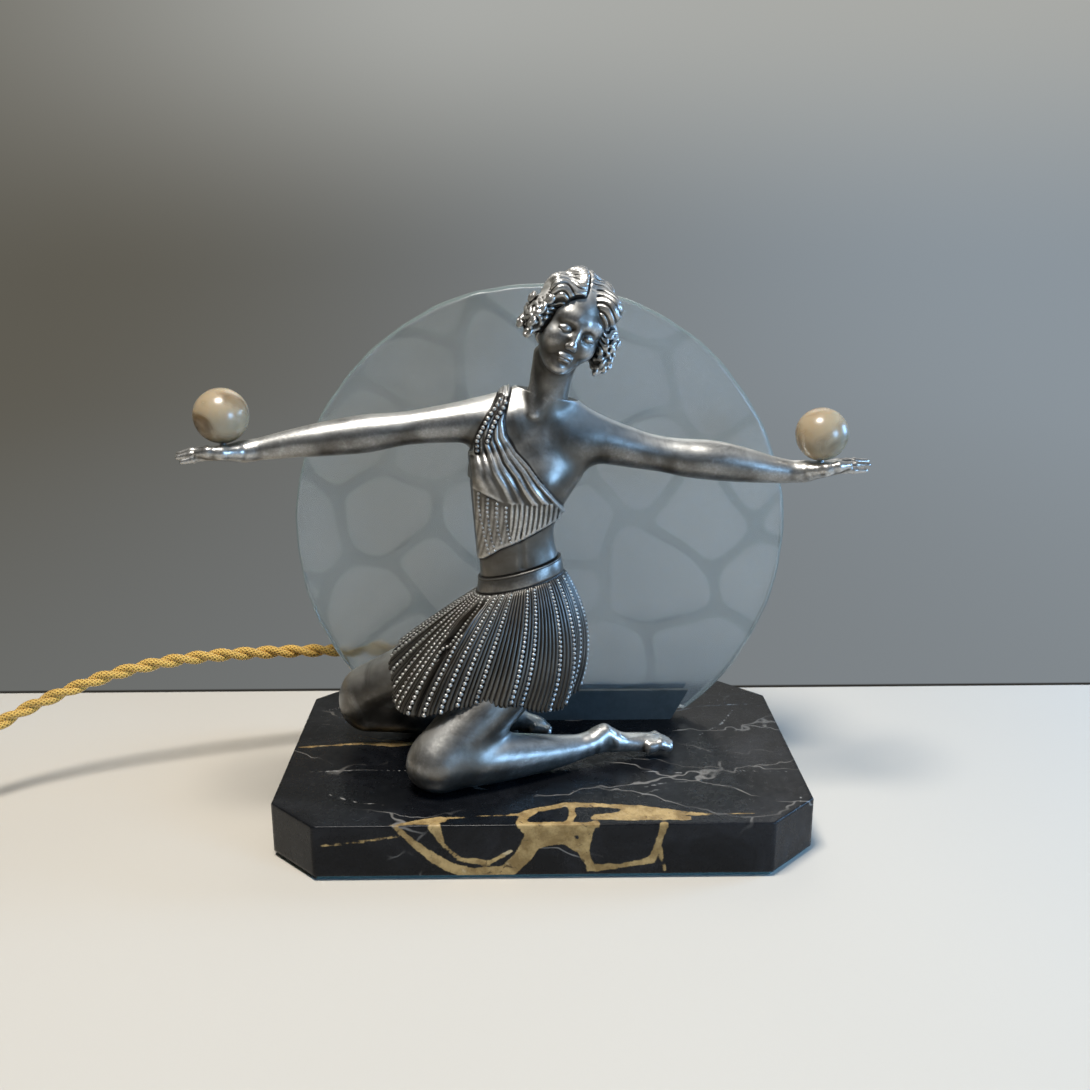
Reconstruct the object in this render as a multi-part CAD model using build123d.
from build123d import *
import math
import os

# Figural table lamp: a kneeling dancer cast in metal holds a ball on each hand in front of a
# round glass screen, and a lampholder behind the glass lights it from the back.
# Millimetres. X runs along the base, Y runs from the front to the back and Z is up.
# The origin is the middle of the felt's underside. Heights of the figure and of the lamp
# are measured from the top of the base.

# Marble base
BASE_WIDTH = 240.0
BASE_DEPTH = 158.0
SLAB_HEIGHT = 24.0
CORNER_CHAMFER = 21.5
SLAB_EDGE = 0.7
FELT_THICKNESS = 2.0
FELT_INSET = 2.0
BASE_TOP = FELT_THICKNESS + SLAB_HEIGHT

# Glass screen and the channel that it stands in
GLASS_RADIUS = 120.6
GLASS_HEIGHT = 215.1
GLASS_THICKNESS = 8.0
GLASS_EDGE = 0.6
GLASS_CLEARANCE = 0.4
CUSHION_THICKNESS = 1.0
CHANNEL_FRONT_Y = 27.5
CHANNEL_WALL = 2.5
CHANNEL_HEIGHT = 16.0
CHANNEL_BOTTOM_LENGTH = 133.0
CHANNEL_TOP_LENGTH = 150.0
CHANNEL_SCREW_SPACING = 90.0
CHANNEL_SCREW = 4.0
CHANNEL_SCREW_HEAD = 7.6
CHANNEL_NUT = 7.0
CHANNEL_NUT_HEIGHT = 3.2
CHANNEL_NUT_POCKET = 11.0
POCKET_DEPTH = 9.0
GLASS_Y = CHANNEL_FRONT_Y + CHANNEL_WALL + GLASS_CLEARANCE + GLASS_THICKNESS / 2
CHANNEL_DEPTH = 2 * (CHANNEL_WALL + GLASS_CLEARANCE) + GLASS_THICKNESS
CUSHION_Z = BASE_TOP + CHANNEL_WALL
GLASS_Z = CUSHION_Z + CUSHION_THICKNESS
POCKET_TOP = FELT_THICKNESS + POCKET_DEPTH

# Clearances of pieces that are fixed together
SCREW_CLEARANCE = 0.2
DOWEL_CLEARANCE = 0.05
NUT_CLEARANCE = 0.05

# Figure: points are (x, y, height above the base), radii belong to the point before them
WAIST_JOINT = (-10.0, -13.0, 95.5)
WAIST_TILT = -15.0
NECK_JOINT = (2.5, -15.0, 173.0)
NECK_TILT = 14.0
SHOULDER_RIGHT = (-32.0, -17.5, 162.3)
SHOULDER_LEFT = (27.0, -10.5, 151.0)
TORSO = [
    ((-8.2, -12.5, 82.0), 19.5, 13.8, -15.0),
    ((-9.2, -12.8, 90.0), 18.8, 13.2, -13.0),
    ((-10.3, -13.0, 98.0), 18.0, 12.6, -8.0),
    ((-11.4, -13.2, 106.0), 17.4, 12.6, -3.0),
    ((-12.2, -13.5, 114.0), 18.0, 13.6, 2.0),
    ((-11.8, -14.0, 123.0), 20.4, 15.0, 6.0),
    ((-9.6, -14.0, 133.0), 23.4, 15.2, 9.0),
    ((-6.2, -14.0, 143.0), 25.4, 14.0, 11.0),
    ((-3.4, -13.6, 153.0), 25.0, 12.0, 11.0),
    ((-1.0, -13.4, 161.0), 20.0, 10.0, 11.0),
    ((1.2, -13.8, 168.0), 12.0, 9.0, 12.0),
    ((3.0, -14.6, 174.0), 9.6, 8.6, 13.0),
    ((5.0, -16.0, 182.0), 9.2, 8.4, 15.0),
    ((8.5, -17.5, 194.0), 9.2, 8.6, 18.0),
    ((11.0, -18.5, 202.0), 9.2, 8.6, 20.0),
]
BUST = [((-21.5, -21.6, 138.5), 10.5), ((-1.5, -22.0, 135.0), 10.5)]
ARM_RIGHT = [
    ((-12.0, -15.0, 163.0), 11.0, 11.0),
    ((-30.0, -17.3, 162.3), 10.0, 10.0),
    ((-46.0, -19.0, 160.8), 8.2, 8.4),
    ((-66.0, -21.8, 158.9), 6.8, 7.0),
    ((-82.0, -23.5, 157.0), 7.8, 7.2),
    ((-104.0, -25.0, 154.3), 6.2, 5.8),
    ((-124.0, -26.0, 151.4), 4.9, 3.8),
    ((-136.0, -26.6, 150.8), 7.2, 3.8),
    ((-145.0, -27.2, 150.0), 7.2, 2.4),
]
ARM_LEFT = [
    ((9.0, -12.0, 155.0), 11.0, 11.5),
    ((25.0, -10.5, 151.4), 10.2, 10.4),
    ((42.0, -9.6, 147.4), 8.2, 8.4),
    ((60.0, -9.0, 144.4), 7.0, 7.6),
    ((76.0, -9.0, 142.6), 7.8, 8.2),
    ((96.0, -9.0, 139.6), 6.2, 6.4),
    ((114.0, -9.0, 137.4), 4.9, 3.9),
    ((126.0, -8.9, 138.3), 7.2, 3.9),
    ((136.0, -8.5, 139.2), 7.2, 2.4),
]
FINGER_LENGTHS = (10.0, 12.5, 13.0, 11.0)
FINGER_RADIUS = 1.7
FINGER_TIP = 1.1
FINGER_SPREAD = 3.5
FINGER_ROOT = 2.0
THUMB_LENGTH = 12.0
THUMB_OFFSET = 6.0
THUMB_SPLAY = 0.45
HEAD_CENTRE = (13.8, -19.0, 206.5)
HEAD_TILT = 20.0
SKULL = (18.0, 20.5, 20.0)
FACE_CENTRE = (0.0, -6.0, -5.5)
FACE = (13.0, 13.5, 17.5)
NOSE = (1.7, 3.2, 4.2)
CURL_RADIUS = 7.8
CURLS = [
    (-14.5, -5.0, 2.0), (-16.0, -2.0, -7.5), (14.5, -5.0, 2.0), (16.0, -2.0, -9.0), (14.0, -5.0, -16.5),
    (-10.5, 10.0, -9.5), (0.0, 13.0, -10.0), (10.5, 10.0, -9.5),
]
SKIRT = [
    ((-9.2, -13.0, 89.0), 19.6, 14.6, -14.0),
    ((-14.6, -13.0, 76.0), 31.0, 22.5, -8.0),
    ((-20.5, -13.0, 62.0), 41.2, 30.5, -4.0),
    ((-25.8, -13.0, 48.0), 44.6, 34.5, 0.0),
    ((-28.2, -13.0, 36.0), 41.4, 35.5, 0.0),
]
BELT_TOP = (19.4, 14.4)
PLEATS = 34
PLEAT_DEPTHS = (0.02, 0.05, 0.07, 0.075, 0.075)
HIP_LEFT = (-8.0, -21.5, 50.5)
KNEE_LEFT = (-47.0, -45.5, 14.2)
LEG_LEFT_RADII = (15.6, 14.2)
SHIN_LEFT = [
    ((-45.0, -45.0, 13.0), 12.6, 12.8),
    ((-28.0, -41.0, 11.6), 11.6, 11.6),
    ((-8.0, -33.0, 10.4), 10.2, 9.6),
    ((10.0, -26.0, 8.6), 7.4, 6.8),
    ((23.0, -20.5, 8.6), 5.4, 5.4),
    ((31.0, -16.8, 11.2), 5.6, 7.2),
]
FOOT_LEFT = [
    ((24.5, -18.8, 14.0), 4.4, 4.4),
    ((35.0, -15.8, 8.8), 5.6, 5.4),
    ((46.0, -13.4, 4.8), 7.4, 3.6),
    ((57.0, -11.6, 3.2), 6.6, 2.6),
]
HIP_RIGHT = (-38.0, -0.5, 47.5)
KNEE_RIGHT = (-85.0, 9.6, 24.2)
LEG_RIGHT_RADII = (16.6, 14.0)
SHIN_RIGHT = [
    ((-84.0, 10.0, 18.6), 12.8, 13.0),
    ((-66.0, 11.0, 15.0), 11.6, 11.4),
    ((-46.0, 12.0, 11.6), 9.8, 9.4),
    ((-28.0, 12.6, 8.4), 6.6, 6.4),
    ((-16.0, 12.6, 8.0), 6.0, 6.6),
]
FOOT_RIGHT = [
    ((-20.0, 13.0, 10.5), 5.0, 5.0),
    ((-10.0, 11.0, 7.6), 6.0, 5.6),
    ((2.0, 8.6, 5.0), 6.6, 4.8),
]
DOWEL_RADIUS = 2.5
DOWEL_LENGTH = 18.0
WAIST_STUD_RADIUS = 4.0
WAIST_STUD_LENGTH = 40.0
STUD_RADIUS = 2.5
STUD_REACH = 14.0
STUD_BACK = (-14.0, 12.4)
STUD_NUT = 8.0
STUD_NUT_HEIGHT = 4.0
STUD_WASHER_RADIUS = 5.0
STUD_WASHER_THICKNESS = 1.0
STUD_POCKET_RADIUS = 7.0
STUD_ENDS = [KNEE_LEFT[:2], STUD_BACK]

# Balls on the hands
BALL_RADIUS = 12.0
BALL_RIGHT = (-136.8, -26.4, 166.8)
BALL_LEFT = (125.8, -8.9, 154.4)
BALL_SEAT = 0.1
BALL_STUD_RADIUS = 1.5
BALL_STUD_LENGTH = 9.0

# Lampholder behind the glass
LAMP_X = -10.0
LAMP_Y = 61.0
STEM_RADIUS = 12.0
STEM_FOOT_RADIUS = 15.0
STEM_FOOT_HEIGHT = 3.0
STEM_HEIGHT = 38.0
STEM_WALL = 2.5
STEM_FLOOR = 9.0
STEM_LID = 3.0
STEM_BOLT = 8.0
BOLT_HEAD = 13.0
BOLT_HEAD_HEIGHT = 5.3
BOLT_WASHER_RADIUS = 8.0
BOLT_WASHER_THICKNESS = 1.6
BOLT_POCKET_RADIUS = 10.0
NIPPLE_RADIUS = 5.0
NIPPLE_BORE = 3.4
HOLDER_RADIUS = 14.0
HOLDER_WALL = 1.6
HOLDER_CAP_HEIGHT = 15.0
HOLDER_NECK_RADIUS = 8.5
HOLDER_SHELL_HEIGHT = 34.0
HOLDER_LIP = 1.6
HOLDER_FIT = 0.2
INSERT_FLOOR = 7.0
INSERT_SHORTER = 3.0
LINER_WALL = 0.6
CONTACT_HEIGHT = 3.0
CONTACT_RADIUS = 3.0
BULB_CAP_RADIUS = 6.95
BULB_CLEARANCE = 0.35
BULB_CAP_HEIGHT = 25.0
BULB_TIP_HEIGHT = 3.0
BULB_TIP_RADIUS = 2.6
BULB_RADIUS = 12.5
BULB_LENGTH = 64.0
BULB_WALL = 0.8
BULB_NECK_RADIUS = 6.0
BULB_SHOULDER_SLOPE = 1.2
BULB_FOOT = 1.0
MOUNT_FOOT_RADIUS = 3.0
MOUNT_FOOT_HEIGHT = 8.0
MOUNT_RADIUS = 1.2
MOUNT_HEIGHT = 35.0
FILAMENT_RADIUS = 0.35
FILAMENT_LOW = 12.0
FILAMENT_HIGH = 32.0
FILAMENT_HALF_WIDTH = 5.6
FILAMENT_OFFSET = 1.9
LEAD_RADIUS = 1.0
LEAD_OFFSET = 1.6
LEAD_BEND = 4.0
STEM_TOP = BASE_TOP + STEM_HEIGHT
HOLDER_Z = STEM_TOP + STEM_LID
SHELL_Z = HOLDER_Z + HOLDER_CAP_HEIGHT
INSERT_RADIUS = HOLDER_RADIUS - HOLDER_WALL - HOLDER_FIT
INSERT_HEIGHT = HOLDER_SHELL_HEIGHT - HOLDER_LIP - INSERT_SHORTER
SOCKET_Z = SHELL_Z + INSERT_FLOOR
SOCKET_RADIUS = BULB_CAP_RADIUS + BULB_CLEARANCE + LINER_WALL
BULB_Z = SOCKET_Z + CONTACT_HEIGHT + BULB_CLEARANCE

# Cord: its two twisted cores lie inside this diameter
CORD = 7.0
CORD_EXIT_HEIGHT = 27.0
BOSS_RADIUS = 7.0
BOSS_LENGTH = 8.0
GLAND_LENGTH = 24.0
GLAND_TIP_RADIUS = 4.6
GLAND_BORE_DEPTH = 12.0
GLAND_SPIGOT = 2.0
CORD_CLEARANCE = 0.1
CORD_Z = BASE_TOP + CORD_EXIT_HEIGHT
BOSS_END_X = LAMP_X - STEM_RADIUS - BOSS_LENGTH
GLAND_END_X = BOSS_END_X - GLAND_LENGTH

# Rocker switch on the cord
SWITCH_LENGTH = 60.0
SWITCH_WIDTH = 26.0
SWITCH_HALF_HEIGHT = 9.0
SWITCH_WALL = 2.0
SWITCH_EDGE = 1.5
SWITCH_X = -356.0
SWITCH_Y = -40.0
SWITCH_CLAMP = 10.0
SWITCH_CORD_DEPTH = 7.0
ROCKER_LENGTH = 21.0
ROCKER_WIDTH = 11.0
ROCKER_HEIGHT = 7.5
ROCKER_KEEL = 6.0
ROCKER_END_HEIGHT = 4.5
ROCKER_PROUD = 1.6
ROCKER_CLEARANCE = 0.6
ROCKER_SWING = 14.0
ROCKER_PIN = 1.5
ROCKER_PIN_LENGTH = 15.0
ROCKER_PIN_DROP = 4.0
ROCKER_PIN_CLEARANCE = 0.3
LUG_THICKNESS = 2.0
LUG_LENGTH = 9.0
SWITCH_SCREW = 1.5
SWITCH_SCREW_HEAD = 2.8
SWITCH_SCREW_LENGTH = 12.0
SWITCH_SCREW_AT = (22.5, 8.0)
SWITCH_BLADE = (18.0, 5.0, 3.0)

# Coil of the cord and the plug at its end
COIL_X = -421.0
COIL_Y = 4.5
COIL_RADIUS = 40.0
COIL_LANES = 3
COIL_LAYERS = 2
PLUG_WIDTH = 35.0
PLUG_TAIL_WIDTH = 15.0
PLUG_THICKNESS = 13.7
PLUG_LENGTH = 36.0
PLUG_TAPER = 20.0
PLUG_EDGE = 3.0
RELIEF_LENGTH = 22.0
RELIEF_RADIUS = 4.6
RELIEF_ROOT_RADIUS = 6.4
RELIEF_BORE = 6.0
PLUG_X = -464.5
PLUG_Y = 45.5
PIN_RADIUS = 2.0
PIN_LENGTH = 19.0
PIN_SPACING = 18.6
PIN_EMBEDDED = 8.0
PIN_SHANK_RADIUS = 1.5
PIN_CHAMFER = 1.0

# Cord's route where it isn't coiled: points chosen by hand, from end to end of each stretch
LEAD_ROUTE = [
    (GLAND_END_X + GLAND_BORE_DEPTH, LAMP_Y, CORD_Z),
    (-72.0, LAMP_Y, CORD_Z),
    (-101.0, 57.2, 53.9),
    (-138.0, 48.0, 56.8),
    (-177.0, 36.2, 58.8),
    (-208.0, 26.0, 56.2),
    (-236.0, 15.5, 49.0),
    (-264.0, 0.0, 39.0),
    (-284.0, -21.5, 23.2),
    (-298.0, -31.5, 14.8),
    (-310.0, -37.2, 10.6),
    (-321.0, SWITCH_Y, SWITCH_HALF_HEIGHT),
    (SWITCH_X + SWITCH_LENGTH / 2 - SWITCH_CORD_DEPTH, SWITCH_Y, SWITCH_HALF_HEIGHT),
]
TAIL_ROUTE = [
    (SWITCH_X - SWITCH_LENGTH / 2 + SWITCH_CORD_DEPTH, SWITCH_Y, SWITCH_HALF_HEIGHT),
    (-391.0, SWITCH_Y, SWITCH_HALF_HEIGHT),
    (-403.5, -41.2, 6.3),
    (-415.5, -42.3, 3.9),
    (-427.0, -42.5, 3.5),
]
END_ROUTE = [
    (-467.9, -1.5, 10.5),
    (-468.4, 12.5, 9.6),
    (-466.3, 26.5, 7.6),
    (PLUG_X, 39.5, PLUG_THICKNESS / 2),
    (PLUG_X, PLUG_Y + RELIEF_BORE, PLUG_THICKNESS / 2),
]


def lifted(point):
    """A point of the figure, given by its height above the base."""
    x, y, height = point
    return Vector(x, y, BASE_TOP + height)


def tilted_plane(point, tilt):
    """A plane whose normal leans from straight up towards +X by tilt degrees."""
    lean = math.radians(tilt)
    across = (math.cos(lean), 0, -math.sin(lean))
    return Plane(origin=lifted(point), x_dir=across, z_dir=(math.sin(lean), 0, math.cos(lean)))


def limb(stations):
    """A smooth limb through ellipses square to its line: (point, half width, half thickness)."""
    points = [lifted(station[0]) for station in stations]
    sections = []
    for i, (_, width, thickness) in enumerate(stations):
        along = points[min(i + 1, len(points) - 1)] - points[max(i - 1, 0)]
        across = Vector(0, 0, 1).cross(along)
        plane = Plane(origin=points[i], x_dir=across, z_dir=along)
        sections.append(plane * Ellipse(width, thickness))
    return loft(sections)


def straight_limb(start, end, radii):
    """A tapering round limb with a round end at its far joint."""
    first, last = lifted(start), lifted(end)
    length = (last - first).length
    cone = Cone(radii[0], radii[1], length, align=(Align.CENTER, Align.CENTER, Align.MIN))
    plane = Plane(origin=first, z_dir=last - first)
    return plane * cone + Pos(last) * Sphere(radii[1])


def above_base(shape):
    """The part of a shape above the base, which it then stands on flat."""
    return split(shape, bisect_by=Plane((0, 0, BASE_TOP)), keep=Keep.TOP)


def hexagon_nut(across_flats, height, bore):
    nut = extrude(RegularPolygon(across_flats / 2, 6, major_radius=False), height)
    return nut - Pos(0, 0, height / 2) * Cylinder(bore, 2 * height)


def upright(radius, bottom, top):
    """A vertical round bar about the local Z axis."""
    return Pos(0, 0, (bottom + top) / 2) * Cylinder(radius, top - bottom)


def along_x(radius, start, end, y, z):
    """A round bar along X."""
    return Pos((start + end) / 2, y, z) * Rot(0, 90, 0) * Cylinder(radius, abs(end - start))


def base_outline(inset):
    width, depth = BASE_WIDTH - 2 * inset, BASE_DEPTH - 2 * inset
    outline = Rectangle(width, depth)
    corner = CORNER_CHAMFER - inset * (2 - math.sqrt(2))
    return chamfer(outline.vertices(), corner)


def channel_screw_places():
    return [Pos(side * CHANNEL_SCREW_SPACING / 2, GLASS_Y, 0) for side in (-1, 1)]


def make_base_slab():
    slab = Pos(0, 0, FELT_THICKNESS) * extrude(base_outline(0), SLAB_HEIGHT)
    slab = chamfer(slab.edges().group_by(Axis.Z)[-1], SLAB_EDGE)
    bores = [(STUD_RADIUS, STUD_POCKET_RADIUS, Pos(x, y, 0)) for x, y in STUD_ENDS]
    bores += [(CHANNEL_SCREW / 2, CHANNEL_NUT_POCKET / 2, place) for place in channel_screw_places()]
    bores += [(STEM_BOLT / 2, BOLT_POCKET_RADIUS, Pos(LAMP_X, LAMP_Y, 0))]
    for hole, pocket, place in bores:
        slab -= place * upright(hole + SCREW_CLEARANCE, 0, BASE_TOP + 1)
        slab -= place * upright(pocket, 0, POCKET_TOP)
    return slab


def make_base_felt():
    return extrude(base_outline(FELT_INSET), FELT_THICKNESS)


def make_glass_channel():
    bottom, top = CHANNEL_BOTTOM_LENGTH / 2, CHANNEL_TOP_LENGTH / 2
    face = Plane((0, CHANNEL_FRONT_Y, BASE_TOP), x_dir=(1, 0, 0), z_dir=(0, 1, 0))
    corners = [(-bottom, 0), (bottom, 0), (top, -CHANNEL_HEIGHT), (-top, -CHANNEL_HEIGHT)]
    channel = extrude(face * make_face(Polyline(*corners, close=True)), CHANNEL_DEPTH)
    slot_depth = CHANNEL_DEPTH - 2 * CHANNEL_WALL
    slot_height = CHANNEL_HEIGHT - CHANNEL_WALL
    channel -= Pos(0, GLASS_Y, CUSHION_Z + slot_height / 2) * Box(
        CHANNEL_TOP_LENGTH + 2, slot_depth, slot_height
    )
    head_height = (CHANNEL_SCREW_HEAD - CHANNEL_SCREW) / 2
    for place in channel_screw_places():
        channel -= place * upright(CHANNEL_SCREW / 2, BASE_TOP, CUSHION_Z)
        channel -= place * Pos(0, 0, CUSHION_Z - head_height / 2) * Cone(
            CHANNEL_SCREW / 2, CHANNEL_SCREW_HEAD / 2, head_height
        )
    return channel


def make_channel_screws():
    head_height = (CHANNEL_SCREW_HEAD - CHANNEL_SCREW) / 2
    screw = upright(CHANNEL_SCREW / 2, POCKET_TOP - CHANNEL_NUT_HEIGHT, CUSHION_Z - head_height)
    screw += Pos(0, 0, CUSHION_Z - head_height / 2) * Cone(
        CHANNEL_SCREW / 2, CHANNEL_SCREW_HEAD / 2, head_height
    )
    return Compound([place * screw for place in channel_screw_places()])


def make_channel_nuts():
    nut = hexagon_nut(CHANNEL_NUT, CHANNEL_NUT_HEIGHT, CHANNEL_SCREW / 2 + NUT_CLEARANCE)
    nut = Pos(0, 0, POCKET_TOP - CHANNEL_NUT_HEIGHT) * nut
    return Compound([place * nut for place in channel_screw_places()])


def make_glass_cushion():
    slot_depth = CHANNEL_DEPTH - 2 * CHANNEL_WALL
    return Pos(0, GLASS_Y, CUSHION_Z + CUSHION_THICKNESS / 2) * Box(
        CHANNEL_BOTTOM_LENGTH, slot_depth, CUSHION_THICKNESS
    )


def make_glass_disc():
    """A round plate with one flat cut across its foot."""
    centre_z = GLASS_Z + GLASS_HEIGHT - GLASS_RADIUS
    disc = Pos(0, GLASS_Y, centre_z) * Rot(90, 0, 0) * Cylinder(GLASS_RADIUS, GLASS_THICKNESS)
    disc = split(disc, bisect_by=Plane((0, 0, GLASS_Z)), keep=Keep.TOP)
    return chamfer(disc.edges().filter_by(GeomType.CIRCLE), GLASS_EDGE)


def make_hand(stations, outward):
    """Four fingers and a thumb beyond the palm that the last two stations give."""
    wrist_side, root_point = lifted(stations[-2][0]), lifted(stations[-1][0])
    along = (root_point - wrist_side).normalized()
    across = Vector(0, 0, 1).cross(along).normalized()
    fingers = []
    for i, length in enumerate(FINGER_LENGTHS):
        offset = (i - 1.5) * FINGER_SPREAD
        start = root_point + across * offset * outward - along * FINGER_ROOT
        finger = Cone(FINGER_RADIUS, FINGER_TIP, length, align=(Align.CENTER, Align.CENTER, Align.MIN))
        fingers.append(Plane(origin=start, z_dir=along) * finger)
    start = wrist_side - across * THUMB_OFFSET * outward
    thumb = Cone(FINGER_RADIUS, FINGER_TIP, THUMB_LENGTH, align=(Align.CENTER, Align.CENTER, Align.MIN))
    fingers.append(Plane(origin=start, z_dir=along - across * THUMB_SPLAY * outward) * thumb)
    return fingers


def make_arm(stations, outward, ball):
    arm = limb(stations)
    for finger in make_hand(stations, outward):
        arm += finger
    return arm - Pos(lifted(ball)) * Sphere(BALL_RADIUS + BALL_SEAT)


def shoulder_plane(point, stations):
    """The joint across an arm, its normal pointing out along the arm."""
    along = lifted(stations[2][0]) - lifted(stations[0][0])
    return Plane(origin=lifted(point), z_dir=along)


def dowel(plane, radius, length):
    return plane * Cylinder(radius, length)


def make_torso_form():
    sections = [
        tilted_plane(point, tilt) * Ellipse(width, depth) for point, width, depth, tilt in TORSO
    ]
    torso = loft(sections)
    for point, radius in BUST:
        torso += Pos(lifted(point)) * Sphere(radius)
    return torso


def make_head_form():
    """Skull, face, nose and the rounded masses of hair at the sides and the back."""
    place = Pos(lifted(HEAD_CENTRE)) * Rot(0, HEAD_TILT, 0)
    head = place * scale(Sphere(1), by=SKULL)
    head += place * Pos(*FACE_CENTRE) * scale(Sphere(1), by=FACE)
    nose_y = FACE_CENTRE[1] - FACE[1]
    head += place * Pos(FACE_CENTRE[0], nose_y, FACE_CENTRE[2]) * scale(Sphere(1), by=NOSE)
    for curl in CURLS:
        head += place * Pos(*curl) * Sphere(CURL_RADIUS)
    return head


def pleated_section(plane, width, depth, pleat):
    """An ellipse whose outline rises and falls once for each pleat."""
    corners = []
    for i in range(2 * PLEATS):
        angle = math.pi * i / PLEATS
        reach = 1 if i % 2 else 1 - pleat
        corners.append((width * reach * math.cos(angle), depth * reach * math.sin(angle)))
    return plane * make_face(Polyline(*corners, close=True))


def make_skirt_form():
    """The belt over pleats that widen to the hem."""
    sections = [
        pleated_section(tilted_plane(point, tilt), width, depth, pleat)
        for (point, width, depth, tilt), pleat in zip(SKIRT, PLEAT_DEPTHS)
    ]
    belt = [
        tilted_plane(SKIRT[0][0], SKIRT[0][3]) * Ellipse(SKIRT[0][1], SKIRT[0][2]),
        tilted_plane(WAIST_JOINT, WAIST_TILT) * Ellipse(*BELT_TOP),
    ]
    return loft(sections, ruled=True) + loft(belt)


def make_leg_left_form():
    leg = straight_limb(HIP_LEFT, KNEE_LEFT, LEG_LEFT_RADII)
    return above_base(leg + limb(SHIN_LEFT) + limb(FOOT_LEFT))


def make_leg_right_form():
    leg = straight_limb(HIP_RIGHT, KNEE_RIGHT, LEG_RIGHT_RADII)
    return above_base(leg + limb(SHIN_RIGHT) + limb(FOOT_RIGHT))


def make_figure():
    """The castings, cut along shared planes and drilled for their dowels and studs."""
    waist = tilted_plane(WAIST_JOINT, WAIST_TILT)
    neck = tilted_plane(NECK_JOINT, NECK_TILT)
    right = shoulder_plane(SHOULDER_RIGHT, ARM_RIGHT)
    left = shoulder_plane(SHOULDER_LEFT, ARM_LEFT)
    joints = [(neck, DOWEL_RADIUS, DOWEL_LENGTH), (right, DOWEL_RADIUS, DOWEL_LENGTH)]
    joints += [(left, DOWEL_RADIUS, DOWEL_LENGTH), (waist, WAIST_STUD_RADIUS, WAIST_STUD_LENGTH)]
    holes = [dowel(plane, radius + DOWEL_CLEARANCE, length) for plane, radius, length in joints]

    torso = split(make_torso_form(), bisect_by=waist, keep=Keep.TOP)
    neck_stub = split(torso, bisect_by=neck, keep=Keep.TOP)
    torso = split(torso, bisect_by=neck, keep=Keep.BOTTOM)
    head = make_head_form() + neck_stub
    arms = []
    for plane, stations, outward, ball in (
        (right, ARM_RIGHT, -1, BALL_RIGHT),
        (left, ARM_LEFT, 1, BALL_LEFT),
    ):
        arm = make_arm(stations, outward, ball)
        torso = split(torso, bisect_by=plane, keep=Keep.BOTTOM)
        torso += split(arm, bisect_by=plane, keep=Keep.BOTTOM)
        arms.append(split(arm, bisect_by=plane, keep=Keep.TOP) - ball_stud(ball, DOWEL_CLEARANCE))
    skirt = make_skirt_form()
    leg_left = make_leg_left_form() - skirt
    leg_right = make_leg_right_form() - skirt - leg_left
    parts = {
        "figure_head": head - holes[0],
        "figure_torso": torso - holes[0] - holes[1] - holes[2] - holes[3],
        "figure_arm_right": arms[0] - holes[1],
        "figure_arm_left": arms[1] - holes[2],
        "figure_skirt": skirt - holes[3],
        "figure_leg_left": leg_left - stud(STUD_ENDS[0], DOWEL_CLEARANCE),
        "figure_leg_right": leg_right - stud(STUD_ENDS[1], DOWEL_CLEARANCE),
        "figure_dowels": Compound([dowel(*joint) for joint in joints]),
    }
    return parts


def stud(place, clearance=0.0):
    bottom = POCKET_TOP - STUD_WASHER_THICKNESS - STUD_NUT_HEIGHT
    return Pos(*place, 0) * upright(STUD_RADIUS + clearance, bottom, BASE_TOP + STUD_REACH)


def make_stud_hardware():
    washer_z = POCKET_TOP - STUD_WASHER_THICKNESS
    washer = upright(STUD_WASHER_RADIUS, washer_z, POCKET_TOP)
    washer -= upright(STUD_RADIUS + NUT_CLEARANCE, washer_z - 1, POCKET_TOP + 1)
    nut = hexagon_nut(STUD_NUT, STUD_NUT_HEIGHT, STUD_RADIUS + NUT_CLEARANCE)
    nut = Pos(0, 0, washer_z - STUD_NUT_HEIGHT) * nut
    return {
        "figure_studs": Compound([stud(place) for place in STUD_ENDS]),
        "figure_washers": Compound([Pos(*place, 0) * washer for place in STUD_ENDS]),
        "figure_nuts": Compound([Pos(*place, 0) * nut for place in STUD_ENDS]),
    }


def ball_stud(ball, clearance=0.0):
    """A pin from inside the ball down into the palm below it."""
    seat = lifted(ball) - Vector(0, 0, BALL_RADIUS)
    return Pos(seat) * Pos(0, 0, BALL_STUD_LENGTH / 6) * Cylinder(
        BALL_STUD_RADIUS + clearance, BALL_STUD_LENGTH + 2 * clearance
    )


def make_ball(ball):
    return Pos(lifted(ball)) * Sphere(BALL_RADIUS) - ball_stud(ball, DOWEL_CLEARANCE)


def revolved(profile):
    """A turned piece about the lamp's axis, from (radius, height) points."""
    outline = Plane.XZ * make_face(Polyline(*profile, close=True))
    return Pos(LAMP_X, LAMP_Y, 0) * revolve(outline, Axis.Z)


def make_lamp_stem():
    inner = STEM_RADIUS - STEM_WALL
    foot_top = BASE_TOP + STEM_FOOT_HEIGHT
    stem = revolved([
        (0, BASE_TOP), (STEM_FOOT_RADIUS, BASE_TOP), (STEM_FOOT_RADIUS, foot_top - 1),
        (STEM_RADIUS, foot_top), (STEM_RADIUS, STEM_TOP), (inner, STEM_TOP),
        (inner, BASE_TOP + STEM_FLOOR), (0, BASE_TOP + STEM_FLOOR),
    ])
    boss = along_x(BOSS_RADIUS, BOSS_END_X, LAMP_X - inner, LAMP_Y, CORD_Z)
    cavity = Pos(LAMP_X, LAMP_Y, 0) * upright(inner, BASE_TOP + STEM_FLOOR, STEM_TOP)
    stem += boss - cavity
    stem -= along_x(GLAND_TIP_RADIUS, BOSS_END_X - 1, LAMP_X, LAMP_Y, CORD_Z)
    return stem - stem_bolt_shank(SCREW_CLEARANCE / 4)


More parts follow.
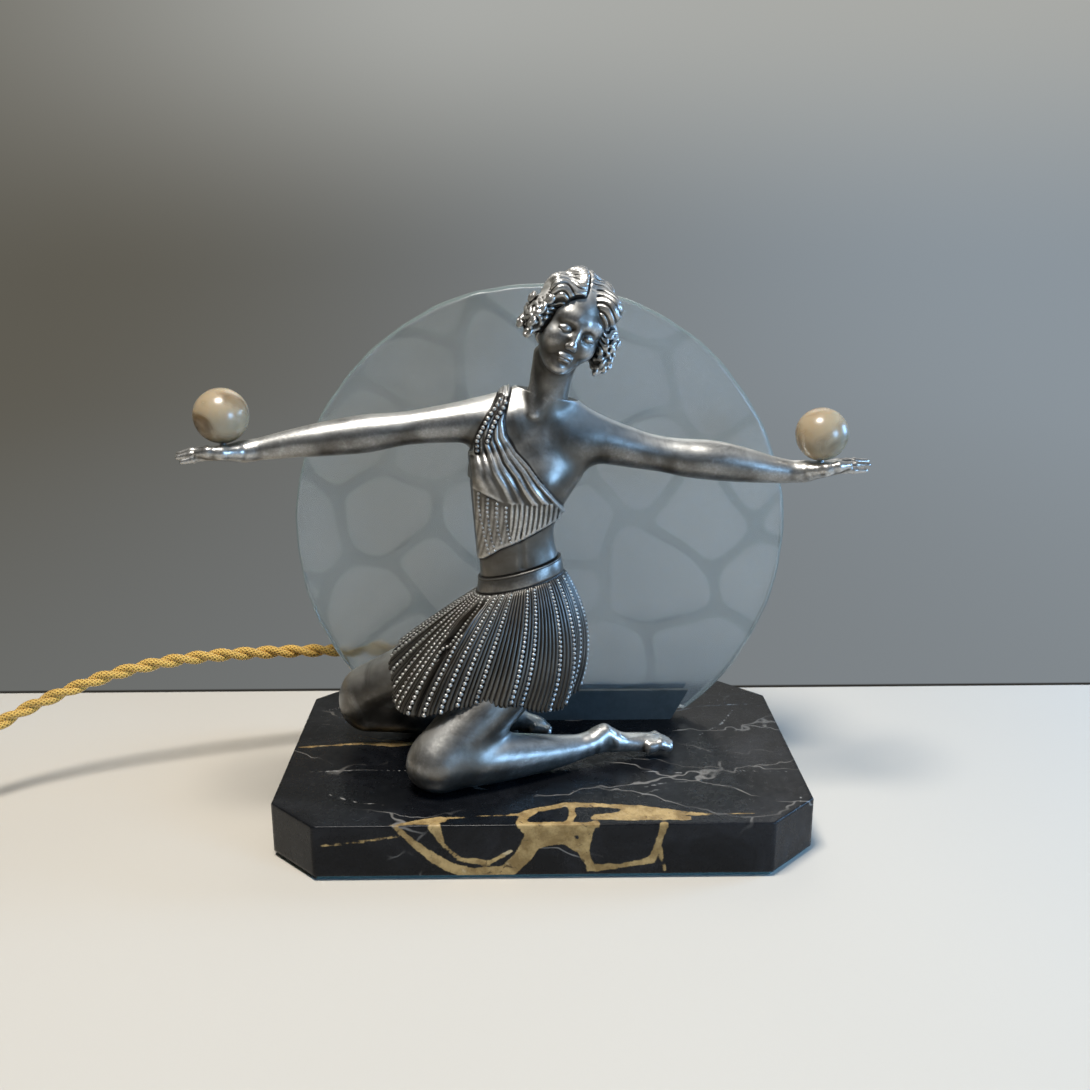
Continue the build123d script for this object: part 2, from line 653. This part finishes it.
def stem_bolt_shank(clearance=0.0):
    bottom = POCKET_TOP - BOLT_WASHER_THICKNESS
    shank = upright(STEM_BOLT / 2 + clearance, bottom, BASE_TOP + STEM_FLOOR - 1 + clearance)
    return Pos(LAMP_X, LAMP_Y, 0) * shank


def make_stem_bolt():
    head = extrude(RegularPolygon(BOLT_HEAD / 2, 6, major_radius=False), BOLT_HEAD_HEIGHT)
    head_z = POCKET_TOP - BOLT_WASHER_THICKNESS - BOLT_HEAD_HEIGHT
    return Pos(LAMP_X, LAMP_Y, head_z) * head + stem_bolt_shank()


def make_stem_washer():
    ring = Cylinder(BOLT_WASHER_RADIUS, BOLT_WASHER_THICKNESS)
    ring -= Cylinder(STEM_BOLT / 2 + NUT_CLEARANCE, 2 * BOLT_WASHER_THICKNESS)
    return Pos(LAMP_X, LAMP_Y, POCKET_TOP - BOLT_WASHER_THICKNESS / 2) * ring


def make_stem_lid():
    """A cover with a spigot that drops into the stem."""
    inner = STEM_RADIUS - STEM_WALL - DOWEL_CLEARANCE
    hole = NIPPLE_RADIUS + DOWEL_CLEARANCE
    return revolved([
        (hole, STEM_TOP - STEM_LID), (inner, STEM_TOP - STEM_LID), (inner, STEM_TOP),
        (STEM_RADIUS, STEM_TOP), (STEM_RADIUS, HOLDER_Z - 1), (STEM_RADIUS - 1, HOLDER_Z),
        (hole, HOLDER_Z),
    ])


def make_holder_nipple():
    bottom, top = STEM_TOP - STEM_LID, HOLDER_Z + HOLDER_WALL + STEM_LID
    return revolved([
        (NIPPLE_BORE, bottom), (NIPPLE_RADIUS, bottom), (NIPPLE_RADIUS, top), (NIPPLE_BORE, top),
    ])


def make_holder_cap():
    """The bell under the lampholder, screwed down on the nipple."""
    neck, outer, wall = HOLDER_NECK_RADIUS, HOLDER_RADIUS, HOLDER_WALL
    hole = NIPPLE_RADIUS + DOWEL_CLEARANCE
    bell_z = HOLDER_Z + HOLDER_CAP_HEIGHT / 2
    return revolved([
        (hole, HOLDER_Z), (neck, HOLDER_Z), (outer - 1, bell_z), (outer, bell_z + 2),
        (outer, SHELL_Z), (outer - wall, SHELL_Z), (outer - wall, bell_z + 2),
        (outer - wall - 1, bell_z), (neck - wall, HOLDER_Z + wall), (hole, HOLDER_Z + wall),
    ])


def make_holder_shell():
    outer, wall = HOLDER_RADIUS, HOLDER_WALL
    top = SHELL_Z + HOLDER_SHELL_HEIGHT
    mouth = SOCKET_RADIUS + HOLDER_LIP
    return revolved([
        (outer - wall, SHELL_Z), (outer, SHELL_Z), (outer, top - 1), (outer - 1, top),
        (mouth, top), (mouth, top - HOLDER_LIP), (outer - wall, top - HOLDER_LIP),
    ])


def make_holder_insert():
    """The ceramic body with the socket that the contacts and the threaded liner sit in."""
    top = SHELL_Z + INSERT_HEIGHT
    return revolved([
        (0, SHELL_Z), (INSERT_RADIUS, SHELL_Z), (INSERT_RADIUS, top), (SOCKET_RADIUS, top),
        (SOCKET_RADIUS, SOCKET_Z), (0, SOCKET_Z),
    ])


def make_holder_liner():
    bottom, top = SOCKET_Z + CONTACT_HEIGHT, SHELL_Z + INSERT_HEIGHT
    outer, inner = SOCKET_RADIUS - DOWEL_CLEARANCE, SOCKET_RADIUS - LINER_WALL
    return revolved([(inner, bottom), (outer, bottom), (outer, top), (inner, top)])


def make_holder_contact():
    """The bent spring strip under the bulb's tip."""
    return revolved([
        (0, SOCKET_Z), (CONTACT_RADIUS, SOCKET_Z), (CONTACT_RADIUS, SOCKET_Z + 1),
        (CONTACT_RADIUS / 2, SOCKET_Z + CONTACT_HEIGHT), (0, SOCKET_Z + CONTACT_HEIGHT),
    ])


def make_bulb_cap():
    """The screwed cap with its contact tip; it holds the glass neck."""
    tip_z, top = BULB_Z + BULB_TIP_HEIGHT, BULB_Z + BULB_CAP_HEIGHT
    inner = BULB_NECK_RADIUS
    return revolved([
        (0, BULB_Z), (BULB_TIP_RADIUS, BULB_Z), (BULB_CAP_RADIUS, tip_z), (BULB_CAP_RADIUS, top),
        (inner, top), (inner, tip_z + 2), (0, tip_z + 2),
    ])


def make_bulb_glass():
    """A tubular envelope with a round top, closed over the glass foot in its neck."""
    neck_z = BULB_Z + BULB_TIP_HEIGHT + 2
    shoulder_z = BULB_Z + BULB_CAP_HEIGHT
    dome_z = shoulder_z + BULB_LENGTH - BULB_RADIUS
    neck, outer = BULB_NECK_RADIUS - DOWEL_CLEARANCE, BULB_RADIUS
    body_z = shoulder_z + BULB_SHOULDER_SLOPE * (outer - neck)
    edges = [
        Line((0, neck_z), (neck, neck_z)),
        Line((neck, neck_z), (neck, shoulder_z)),
        Spline((neck, shoulder_z), (outer, body_z), tangents=[(0, 1), (0, 1)]),
        Line((outer, body_z), (outer, dome_z)),
        CenterArc((0, dome_z), outer, 0, 90),
        Line((0, dome_z + outer), (0, neck_z)),
    ]
    outline = Plane.XZ * make_face(Wire(edges))
    envelope = revolve(outline, Axis.Z)
    hollow_z = shoulder_z + BULB_FOOT
    hollow_neck, hollow = neck - BULB_WALL, outer - BULB_WALL
    cavity = [
        Line((0, hollow_z), (hollow_neck, hollow_z)),
        Spline((hollow_neck, hollow_z), (hollow, body_z + 1), tangents=[(0, 1), (0, 1)]),
        Line((hollow, body_z + 1), (hollow, dome_z)),
        CenterArc((0, dome_z), hollow, 0, 90),
        Line((0, dome_z + hollow), (0, hollow_z)),
    ]
    inside = revolve(Plane.XZ * make_face(Wire(cavity)), Axis.Z)
    return Pos(LAMP_X, LAMP_Y, 0) * (envelope - inside)


def make_bulb_mount():
    """The glass rod that carries the filament, standing on the envelope's foot."""
    foot_z = BULB_Z + BULB_CAP_HEIGHT + BULB_FOOT
    return revolved([
        (0, foot_z), (MOUNT_FOOT_RADIUS, foot_z), (MOUNT_RADIUS, foot_z + MOUNT_FOOT_HEIGHT),
        (MOUNT_RADIUS, foot_z + MOUNT_HEIGHT), (0, foot_z + MOUNT_HEIGHT),
    ])


def make_bulb_filament():
    """A coiled filament, drawn as the zigzag hoop that it hangs in."""
    low = BULB_Z + BULB_CAP_HEIGHT + FILAMENT_LOW
    high = BULB_Z + BULB_CAP_HEIGHT + FILAMENT_HIGH
    spread = FILAMENT_HALF_WIDTH
    corners = [(-spread, 0, low), (-spread / 2, 0, high), (spread / 2, 0, high - 1), (spread, 0, low)]
    wires = []
    for start, end in zip(corners, corners[1:]):
        direction = Vector(*end) - Vector(*start)
        middle = (Vector(*end) + Vector(*start)) * 0.5 - Vector(0, FILAMENT_OFFSET, 0)
        wires.append(Plane(origin=middle, z_dir=direction) * Cylinder(FILAMENT_RADIUS, direction.length))
    hoop = wires[0] + wires[1] + wires[2]
    return Pos(LAMP_X, LAMP_Y, 0) * hoop


def make_cord_gland():
    """A tapered strain relief screwed into the stem's boss."""
    gland = Pos((GLAND_END_X + BOSS_END_X) / 2, LAMP_Y, CORD_Z) * Rot(0, -90, 0) * Cone(
        BOSS_RADIUS, GLAND_TIP_RADIUS, GLAND_LENGTH
    )
    spigot_radius = GLAND_TIP_RADIUS - DOWEL_CLEARANCE
    gland += along_x(spigot_radius, BOSS_END_X, BOSS_END_X + BOSS_LENGTH - GLAND_SPIGOT, LAMP_Y, CORD_Z)
    bore = CORD / 2 + CORD_CLEARANCE
    return gland - along_x(bore, GLAND_END_X - 1, GLAND_END_X + GLAND_BORE_DEPTH, LAMP_Y, CORD_Z)


def make_lamp_leads():
    """The two cores inside the stem, from the gland up through the nipple."""
    start_x = BOSS_END_X + BOSS_LENGTH - GLAND_SPIGOT
    leads = []
    for side in (-1, 1):
        y = LAMP_Y + side * LEAD_OFFSET
        path = FilletPolyline(
            (start_x, y, CORD_Z), (LAMP_X, y, CORD_Z), (LAMP_X, y, SHELL_Z), radius=LEAD_BEND
        )
        section = Plane(origin=path @ 0, z_dir=path % 0) * Circle(LEAD_RADIUS)
        leads.append(sweep(section, path))
    return Compound(leads)


def corner_radii(route):
    """Each arc is as large as its two runs allow."""
    points = [Vector(*point) for point in route]
    radii = []
    for before, at, after in zip(points, points[1:], points[2:]):
        shorter = min((at - before).length, (after - at).length)
        half_turn = math.radians((at - before).get_angle(after - at)) / 2
        radii.append(0.45 * shorter / math.tan(half_turn))
    return radii


def make_tube(name, route):
    radii = corner_radii(route)
    path = FilletPolyline(*route, radius=radii)
    section = Plane(origin=path @ 0, z_dir=path % 0) * Circle(CORD / 2)
    tube = sweep(section, path)
    expected = math.pi * (CORD / 2) ** 2 * path.length
    print(name, "length", round(path.length, 1), "volume ratio", round(tube.volume / expected, 4))
    print(name, "radii", [round(radius) for radius in radii])
    return tube


def make_coil():
    width, height = COIL_LANES * CORD, COIL_LAYERS * CORD
    section = Plane.XZ * Pos(COIL_RADIUS, height / 2) * RectangleRounded(width, height, CORD / 2 - 0.1)
    return Pos(COIL_X, COIL_Y, 0) * revolve(section, Axis.Z)


def switch_block(height):
    """Half of the switch's housing, solid at both ends round the cord."""
    block = extrude(SlotOverall(SWITCH_LENGTH, SWITCH_WIDTH), height)
    return chamfer(block.edges().group_by(Axis.Z)[-1], SWITCH_EDGE)


def switch_cavity(height):
    length = SWITCH_LENGTH - 2 * SWITCH_CLAMP - SWITCH_WALL
    width = SWITCH_WIDTH - 2 * SWITCH_WALL
    return extrude(Rectangle(length, width), height)


def switch_cord_bores():
    bore = CORD / 2 + CORD_CLEARANCE
    inner = SWITCH_LENGTH / 2 - SWITCH_CORD_DEPTH
    outer = SWITCH_LENGTH / 2 + 1
    return along_x(bore, inner, outer, 0, 0) + along_x(bore, -outer, -inner, 0, 0)


def switch_screw_places():
    x, y = SWITCH_SCREW_AT
    return [Pos(x, y, 0), Pos(-x, -y, 0)]


def rocker_pivot_z():
    return 2 * SWITCH_HALF_HEIGHT - ROCKER_PIN_DROP


def make_switch():
    """Base, cover, rocker, screws and contact blade, lying on the table."""
    place = Pos(SWITCH_X, SWITCH_Y, 0)
    half = SWITCH_HALF_HEIGHT
    bores = Pos(0, 0, half) * switch_cord_bores()
    base = Pos(0, 0, half) * Rot(180, 0, 0) * switch_block(half)
    base -= Pos(0, 0, SWITCH_WALL) * switch_cavity(half)
    base -= bores
    cover = Pos(0, 0, half) * switch_block(half)
    cover -= Pos(0, 0, half - 1) * switch_cavity(half - SWITCH_WALL + 1)
    lug_y = ROCKER_WIDTH / 2 + ROCKER_CLEARANCE + LUG_THICKNESS / 2
    lug_height = half - SWITCH_WALL
    for side in (-1, 1):
        cover += Pos(0, side * lug_y, half + lug_height / 2) * Box(LUG_LENGTH, LUG_THICKNESS, lug_height)
    window_length = ROCKER_LENGTH + 2 * ROCKER_CLEARANCE
    window_width = ROCKER_WIDTH + 2 * ROCKER_CLEARANCE
    cover -= Pos(0, 0, 2 * half) * Box(window_length, window_width, 3 * SWITCH_WALL)
    cover -= bores
    pin_hole = Cylinder(ROCKER_PIN + ROCKER_PIN_CLEARANCE, ROCKER_PIN_LENGTH + 2 * ROCKER_PIN_CLEARANCE)
    cover -= Pos(0, 0, rocker_pivot_z()) * Rot(90, 0, 0) * pin_hole
    screws = []
    for spot in switch_screw_places():
        shank = upright(SWITCH_SCREW, SWITCH_WALL, SWITCH_SCREW_LENGTH)
        head = upright(SWITCH_SCREW_HEAD, SWITCH_WALL / 4, SWITCH_WALL)
        base -= spot * upright(SWITCH_SCREW + NUT_CLEARANCE, 0, half)
        base -= spot * upright(SWITCH_SCREW_HEAD + NUT_CLEARANCE, 0, SWITCH_WALL)
        cover -= spot * upright(SWITCH_SCREW + NUT_CLEARANCE, half, SWITCH_SCREW_LENGTH + NUT_CLEARANCE)
        screws.append(place * spot * (shank + head))
    length, width, height = SWITCH_BLADE
    blade = Pos(0, 0, SWITCH_WALL + height / 2) * Box(length, width, height)
    return {
        "switch_base": place * base,
        "switch_cover": place * cover,
        "switch_rocker": place * make_rocker(),
        "switch_screws": Compound(screws),
        "switch_blade": place * blade,
    }


def make_rocker():
    """A two-sided key, at rest tilted half of its swing."""
    half_length, top = ROCKER_LENGTH / 2, ROCKER_PIN_DROP + ROCKER_PROUD
    dip = half_length * math.tan(math.radians(ROCKER_SWING / 2))
    bottom, end_bottom = top - ROCKER_HEIGHT, top - ROCKER_END_HEIGHT
    keel, end = ROCKER_KEEL / 2, half_length - 1
    corners = [
        (-end, end_bottom), (-keel, bottom), (keel, bottom), (end, end_bottom),
        (half_length, top), (0, top - dip), (-half_length, top),
    ]
    profile = Plane.XZ * make_face(Polyline(*corners, close=True))
    key = extrude(profile, ROCKER_WIDTH / 2, both=True)
    key += Rot(90, 0, 0) * Cylinder(ROCKER_PIN, ROCKER_PIN_LENGTH)
    return Pos(0, 0, rocker_pivot_z()) * Rot(0, ROCKER_SWING / 2, 0) * key


def make_plug():
    """A flat two-pin plug with its moulded strain relief, turned to point along +Y."""
    tail, width, length = PLUG_TAIL_WIDTH / 2, PLUG_WIDTH / 2, PLUG_LENGTH
    corners = [
        (0, -tail), (PLUG_TAPER, -width), (length, -width),
        (length, width), (PLUG_TAPER, width), (0, tail),
    ]
    body = extrude(make_face(Polyline(*corners, close=True)), PLUG_THICKNESS)
    body = fillet(body.edges().filter_by(Axis.Z).group_by(Axis.X)[1], PLUG_EDGE)
    body = chamfer(body.faces().sort_by(Axis.Z)[-1].edges(), PLUG_EDGE / 3)
    middle = PLUG_THICKNESS / 2
    relief = Pos(-RELIEF_LENGTH / 2, 0, middle) * Rot(0, 90, 0) * Cone(
        RELIEF_RADIUS, RELIEF_ROOT_RADIUS, RELIEF_LENGTH
    )
    plug = body + relief
    plug -= along_x(CORD / 2 + CORD_CLEARANCE, -RELIEF_LENGTH - 1, RELIEF_BORE - RELIEF_LENGTH, 0, middle)
    pins = []
    for side in (-1, 1):
        y = side * PIN_SPACING / 2
        start = length - PIN_EMBEDDED
        plug -= along_x(PIN_SHANK_RADIUS + DOWEL_CLEARANCE, start, length + 1, y, middle)
        pin = along_x(PIN_RADIUS, length, length + PIN_LENGTH, y, middle)
        pin = chamfer(pin.edges().sort_by(Axis.X)[-1], PIN_CHAMFER)
        pins.append(pin + along_x(PIN_SHANK_RADIUS, start, length, y, middle))
    place = Pos(PLUG_X, PLUG_Y + RELIEF_LENGTH, 0) * Rot(0, 0, 90)
    return {"plug_body": place * plug, "plug_pins": Compound([place * pin for pin in pins])}


def make_parts():
    parts = {
        "base_slab": make_base_slab(),
        "base_felt": make_base_felt(),
        "glass_channel": make_glass_channel(),
        "channel_screws": make_channel_screws(),
        "channel_nuts": make_channel_nuts(),
        "glass_cushion": make_glass_cushion(),
        "glass_disc": make_glass_disc(),
        "ball_right": make_ball(BALL_RIGHT),
        "ball_left": make_ball(BALL_LEFT),
        "ball_studs": Compound([ball_stud(BALL_RIGHT), ball_stud(BALL_LEFT)]),
        "lamp_stem": make_lamp_stem(),
        "stem_bolt": make_stem_bolt(),
        "stem_washer": make_stem_washer(),
        "stem_lid": make_stem_lid(),
        "holder_nipple": make_holder_nipple(),
        "holder_cap": make_holder_cap(),
        "holder_shell": make_holder_shell(),
        "holder_insert": make_holder_insert(),
        "holder_liner": make_holder_liner(),
        "holder_contact": make_holder_contact(),
        "bulb_cap": make_bulb_cap(),
        "bulb_glass": make_bulb_glass(),
        "bulb_mount": make_bulb_mount(),
        "bulb_filament": make_bulb_filament(),
        "cord_gland": make_cord_gland(),
        "lamp_leads": make_lamp_leads(),
        "cord_lead": make_tube("cord_lead", LEAD_ROUTE),
        "cord_tail": make_tube("cord_tail", TAIL_ROUTE),
        "cord_end": make_tube("cord_end", END_ROUTE),
        "cord_coil": make_coil(),
    }
    parts.update(make_figure())
    parts.update(make_stud_hardware())
    parts.update(make_switch())
    parts.update(make_plug())
    return parts


os.makedirs("parts", exist_ok=True)
for name, shape in make_parts().items():
    export_step(shape, f"parts/{name}.step")
